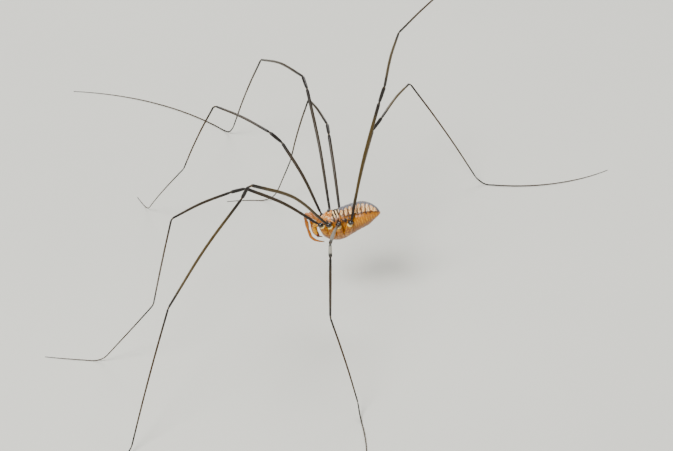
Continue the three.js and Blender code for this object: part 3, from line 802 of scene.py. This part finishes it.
for side_name, sign in SIDES:
    for number, (back, out, up) in enumerate(HIPS, 1):
        ball = egg((back, sign * out, up), HIP_BALL_RADII, HIP_BALL_RINGS)
        paint = all_over(LEG_BLACK, ball.shape)
        make_piece(f"hip_ball_{side_name}_{number}", from_body(ball), paint, BALL_CHITIN)

# %% [markdown]
# A harvestman has just two eyes, on a black mound that rises from the head shield like a
# turret. Mound and eyes are as glossy as wet glass, the eyes more so. All three are
# squashed balls, each sunk in what carries it, so nothing has to be cut to fit.

# %% Eye mound and eyes
EYE_BLACK = linear("#0b0a0b")
GLASS_SHINE = {"IOR": 1.5, "Coat Weight": 1.0, "Coat Roughness": 0.03}
MOUND_CENTRE, MOUND_RADII, MOUND_RINGS = (-1.6, 0, 1.66), (0.29, 0.23, 0.4), 40
LENS_BACK, LENS_OUT, LENS_UP = -1.6, 0.24, 1.88
LENS_RADII, LENS_RINGS = (0.16, 0.1, 0.16), 28


def glass(name, roughness):
    """Black lens cuticle: a black ground under a clear coat, so it mirrors the lights."""
    material, tree, output = new_material(name)
    shader = add_node(tree, "ShaderNodeBsdfPrincipled", {
        "Base Color": (*EYE_BLACK, 1), "Roughness": roughness, **GLASS_SHINE})
    tree.links.new(shader.outputs["BSDF"], output.inputs["Surface"])
    return material


LENS_GLOSS = glass("black_lens_cuticle", 0.06)
MOUND_GLOSS = glass("polished_black_chitin", 0.16)
mound = egg(MOUND_CENTRE, MOUND_RADII, MOUND_RINGS)
paint = all_over(EYE_BLACK, mound.shape)
make_piece("eye_mound", from_body(mound), paint, MOUND_GLOSS, ("ocularium",))
for side_name, sign in SIDES:
    lens = egg((LENS_BACK, sign * LENS_OUT, LENS_UP), LENS_RADII, LENS_RINGS)
    node = f"eye_{side_name}"
    make_piece(f"{node}_lens", from_body(lens), all_over(EYE_BLACK, lens.shape), LENS_GLOSS, (node,))

# %% [markdown]
# Two pedipalps, short feelers beside the mouth, arch up and then hang down like arms;
# their last joint is long and curls back under the chin. Their joints could be pieces of
# their own, but on this scale a pinch and a dark ring in one tube look the same. A point
# has four numbers: back, out, up and the radius there.

# %% Pedipalps
# Rose is a painted highlight for the top of the palp arch.
ORANGE = linear("#a86408")
PAINTED_HIGHLIGHT_ROSE = linear("#e0a07c")
RUST = linear("#7c3406")
DULL_TIP = linear("#7a5a24")
LEFT_PALP = [(-2.6, 0.7, 0.7, 0.27), (-3.35, 0.85, 1.55, 0.2), (-3.92, 0.92, 2.12, 0.22),
             (-4.25, 0.92, 2.27, 0.27), (-4.42, 0.92, 1.95, 0.22), (-4.48, 0.9, 1.1, 0.23),
             (-4.5, 0.88, 0.3, 0.17), (-4.45, 0.86, -0.2, 0.19), (-4.4, 0.84, -0.62, 0.18),
             (-4.05, 0.78, -1.15, 0.15), (-3.5, 0.7, -1.5, 0.1), (-2.95, 0.66, -1.7, 0.05)]
RIGHT_PALP = [(-2.6, 0.7, 0.6, 0.27), (-3.25, 0.85, 1.25, 0.2), (-3.68, 0.92, 1.62, 0.22),
              (-3.98, 0.92, 1.68, 0.27), (-4.1, 0.92, 1.4, 0.22), (-4.14, 0.9, 0.7, 0.23),
              (-4.19, 0.88, 0.1, 0.17), (-4.18, 0.86, -0.35, 0.18), (-4.14, 0.84, -0.7, 0.17),
              (-3.85, 0.78, -1.15, 0.13), (-3.45, 0.72, -1.4, 0.08), (-3.22, 0.7, -1.5, 0.05)]
PALP_SIDES = 28
PALP_JOINTS = [0.1, 0.335, 0.43, 0.6]
ARCH_TOP = 0.27
palp_records = {}


def palp(name, points, sign, node):
    """A tube along the palp, with a painted rosy highlight on the arch, and dark at the claw."""
    placed = [(back, sign * out, up, radius) for back, out, up, radius in points]
    path, run = smooth_path(placed, TUBE_STEP)
    pinch = 1 - 0.2 * bumps_at(run / run[-1], PALP_JOINTS, 0.014)
    rings, normal = tube(path[:, :3], rounded_ends(run, path[:, 3]) * pinch, PALP_SIDES, up=(0, 1, 0))
    t, angle = length_and_angle(run, PALP_SIDES)
    cloud = ripple(t * 6, angle, 71, 1.0)
    arch = bumps_at(t, [ARCH_TOP], 0.1)
    paint = blend(all_over(ORANGE, rings.shape), RUST, 0.5 * soft_step(cloud, 0.0, 0.6))
    # Painted highlight: rosy on the top of the arch.
    paint = blend(paint, PAINTED_HIGHLIGHT_ROSE, 0.75 * arch * soft_step(-cloud, -0.2, 0.5))
    paint = blend(paint, RUST, 0.8 * bumps_at(t, PALP_JOINTS, 0.012))
    paint = blend(paint, DULL_TIP, 0.7 * soft_step(t, 0.85, 0.95))
    paint = blend(paint, LEG_BLACK, soft_step(t, 0.975, 0.99))
    palp_records[name] = (path[:, :3], path[:, 3], normal, run)
    make_piece(name, from_body(rings), paint, PALP_CHITIN, (node,))


palp("palp_left", LEFT_PALP, -1, "pedipalp_left")
palp("palp_right", RIGHT_PALP, 1, "pedipalp_right")

# %% [markdown]
# Between the palps hang the chelicerae, the jaws: a pale base that points forward, a hand
# that hangs from it, and two dark fingers. Each part is a short tube that starts inside
# the one before. Their points say back, up and radius; all hang equally far out.

# %% Chelicerae
CHELICERA_OUT = 0.32
CHELICERA_SIDES = 24
CHELICERA = {
    "base": [(-2.8, 0.35, 0.22), (-3.3, 0.48, 0.27), (-3.68, 0.5, 0.25), (-3.86, 0.3, 0.2)],
    "hand": [(-3.7, 0.5, 0.16), (-3.8, 0.2, 0.26), (-3.78, -0.3, 0.24), (-3.7, -0.72, 0.13)],
    "finger": [(-3.72, -0.5, 0.12), (-3.72, -0.85, 0.08), (-3.6, -1.15, 0.03)],
    "thumb": [(-3.7, -0.5, 0.12), (-3.56, -0.85, 0.08), (-3.52, -1.12, 0.03)]}


def chelicera_part(name, line, sign, pincer, node):
    """A tube in an upright plane, amber, or rust with a black tip on a finger."""
    placed = [(back, sign * CHELICERA_OUT, up, radius) for back, up, radius in line]
    path, run = smooth_path(placed, TUBE_STEP)
    rings, _ = tube(path[:, :3], rounded_ends(run, path[:, 3]), CHELICERA_SIDES, up=(0, 1, 0))
    t, _ = length_and_angle(run, CHELICERA_SIDES)
    cloud = soft_step(ripple(t * 4, t, 81, 0.8), 0, 0.5)
    paint = blend(all_over(RUST if pincer else PALE_AMBER, rings.shape), RUST, 0.4 * cloud)
    paint = blend(paint, LEG_BLACK, soft_step(t, 0.5, 0.8) * pincer)
    make_piece(name, from_body(rings), paint, PALP_CHITIN, (node,))


for side_name, sign in SIDES:
    for part, line in CHELICERA.items():
        node = f"chelicera_{side_name}"
        chelicera_part(f"{node}_{part}", line, sign, part in ("finger", "thumb"), node)

# %% [markdown]
# Setae are the fine bristles of an arthropod. They stand out a little from the legs and
# feelers and lean towards the tip. Hair curves could draw them, but a thin three-sided
# cone is plain mesh, with just four faces, and a leg's bristles are one mesh. The map
# OFBake gives each bristle a small patch, set out as the skin's points are.

# %% Bristles
HAIR_COLOUR = linear("#2a1d12")
ROOT_DEPTH = 0.9
STAND_OUT, LEAN_AHEAD = 0.45, 0.85
CORNER_ANGLES = (0, 2.094, 4.189)
CONE_FACES = np.array([[0, 1, 3], [1, 2, 3], [2, 0, 3], [2, 1, 0]])
MAP_SHARE = 0.99
PATCH = np.array([[0, 0], [0.003, 0], [0, 0.003]])


def bristle_points(record, per_mm, length, thickness, seed):
    """Four points a cone: three on a small ring at the skin, and the tip out and ahead of it."""
    centres, radius, normal, run = record
    draw = np.random.default_rng(seed)
    count = int(run[-1] * per_mm)
    ring = draw.integers(4, len(run) - 3, count)
    side = draw.integers(0, normal.shape[1], count)
    out = normal[ring, side]
    ahead = centres[ring + 2] - centres[ring - 2]
    ahead /= np.linalg.norm(ahead, axis=1, keepdims=True)
    root = centres[ring] + out * (np.asarray(radius)[ring][:, None] * ROOT_DEPTH)
    reach = length * draw.uniform(0.6, 1.3, (count, 1))
    tip = root + out * reach * STAND_OUT + ahead * reach * LEAN_AHEAD
    across = np.cross(ahead, out)
    corners = [root + thickness * (across * math.cos(a) + ahead * math.sin(a)) for a in CORNER_ANGLES]
    home = np.stack([ring / len(run), side / normal.shape[1]], axis=-1) * MAP_SHARE
    return np.stack([*corners, tip], axis=1).reshape(-1, 3), home


def bristles(name, points, home):
    """One mesh of cones from points in metres, each cone mapped to its own patch of skin."""
    count = len(home)
    base = np.arange(count)[:, None] * 4
    faces = (base[:, None] + CONE_FACES[None]).reshape(-1, 3)
    mesh = bpy.data.meshes.new(name)
    mesh.from_pydata(points.tolist(), [], faces.tolist())
    patches = home[:, None, None] + PATCH[None, None] + np.zeros((count, 4, 1, 1))
    mesh.uv_layers.new(name="OFBake").data.foreach_set("uv", patches.ravel())
    put_in_scene(name, mesh, all_over(HAIR_COLOUR, points.shape), LEG_CHITIN)
    print(name, "has", count, "bristles")


for order, (leg, record) in enumerate(leg_records.items()):
    points, home = bristle_points(record, per_mm=9, length=0.16, thickness=0.011, seed=order)
    points[:, 2] = np.maximum(points[:, 2], 0)
    bristles(f"{leg}_setae", points * MM, home)
for order, (name, record) in enumerate(palp_records.items()):
    points, home = bristle_points(record, per_mm=30, length=0.12, thickness=0.009, seed=20 + order)
    bristles(f"{name}_setae", from_body(points), home)

# %% [markdown]
# The stage is a pale matt floor, far wider than the picture. Dark legs read best against
# it, and faint clouds keep it from looking like empty space. A noise node with nothing
# linked to its vector runs from 0 to 1 over the floor, so the floor's width is in its
# scale.

# %% Floor
FLOOR_SIZE = 3.0
CLOUD_MM = 50
FLOOR_ROUGHNESS = 0.9
FLOOR_TONES = ((0.60, 0.60, 0.55, 1), (0.66, 0.66, 0.60, 1))
material, tree, output = new_material("pale_matt_floor")
cloud = add_node(tree, "ShaderNodeTexNoise", {"Scale": FLOOR_SIZE / (CLOUD_MM * MM), "Detail": 3})
floor_tone = add_node(tree, "ShaderNodeMix", {
    0: cloud.outputs["Fac"], 6: FLOOR_TONES[0], 7: FLOOR_TONES[1]}, data_type="RGBA")
shader = add_node(tree, "ShaderNodeBsdfPrincipled", {
    "Base Color": floor_tone.outputs[2], "Roughness": FLOOR_ROUGHNESS})
tree.links.new(shader.outputs["BSDF"], output.inputs["Surface"])
bpy.ops.mesh.primitive_grid_add(x_subdivisions=4, y_subdivisions=4, size=FLOOR_SIZE)
floor = bpy.context.object
floor.name = "floor"
floor.data.materials.append(material)
print("floor, m:", FLOOR_SIZE)

# %% [markdown]
# The lights are broad and soft, as in a product studio, because a small hard light would
# break the glossy back into white dots. The key light stands above the camera and to its
# left, a weak fill on its right lifts the shadows, and a third shines from behind.

# %% Lights
ROOM_WHITE = (1.0, 0.98, 0.94, 1)
ROOM_STRENGTH = 0.42
world = bpy.data.worlds.new("soft_room")
bpy.context.scene.world = world
world.use_nodes = True
room = world.node_tree.nodes["Background"].inputs
room["Color"].default_value = ROOM_WHITE
room["Strength"].default_value = ROOM_STRENGTH


def soft_light(name, place, watts, size):
    """A square light that faces the body, its place and size in metres."""
    lamp = bpy.data.lights.new(name, "AREA")
    lamp.energy = watts
    lamp.size = size
    light = bpy.data.objects.new(name, lamp)
    bpy.context.collection.objects.link(light)
    light.location = place
    light.rotation_euler = (body_spot - Vector(place)).to_track_quat("-Z", "Y").to_euler()


soft_light("key", place=(-0.22, -0.26, 0.48), watts=4.8, size=0.24)
soft_light("fill", place=(0.45, -0.25, 0.25), watts=0.9, size=0.35)
soft_light("back", place=(0.1, 0.45, 0.4), watts=3.0, size=0.30)
print("lights:", [light.name for light in bpy.data.lights])
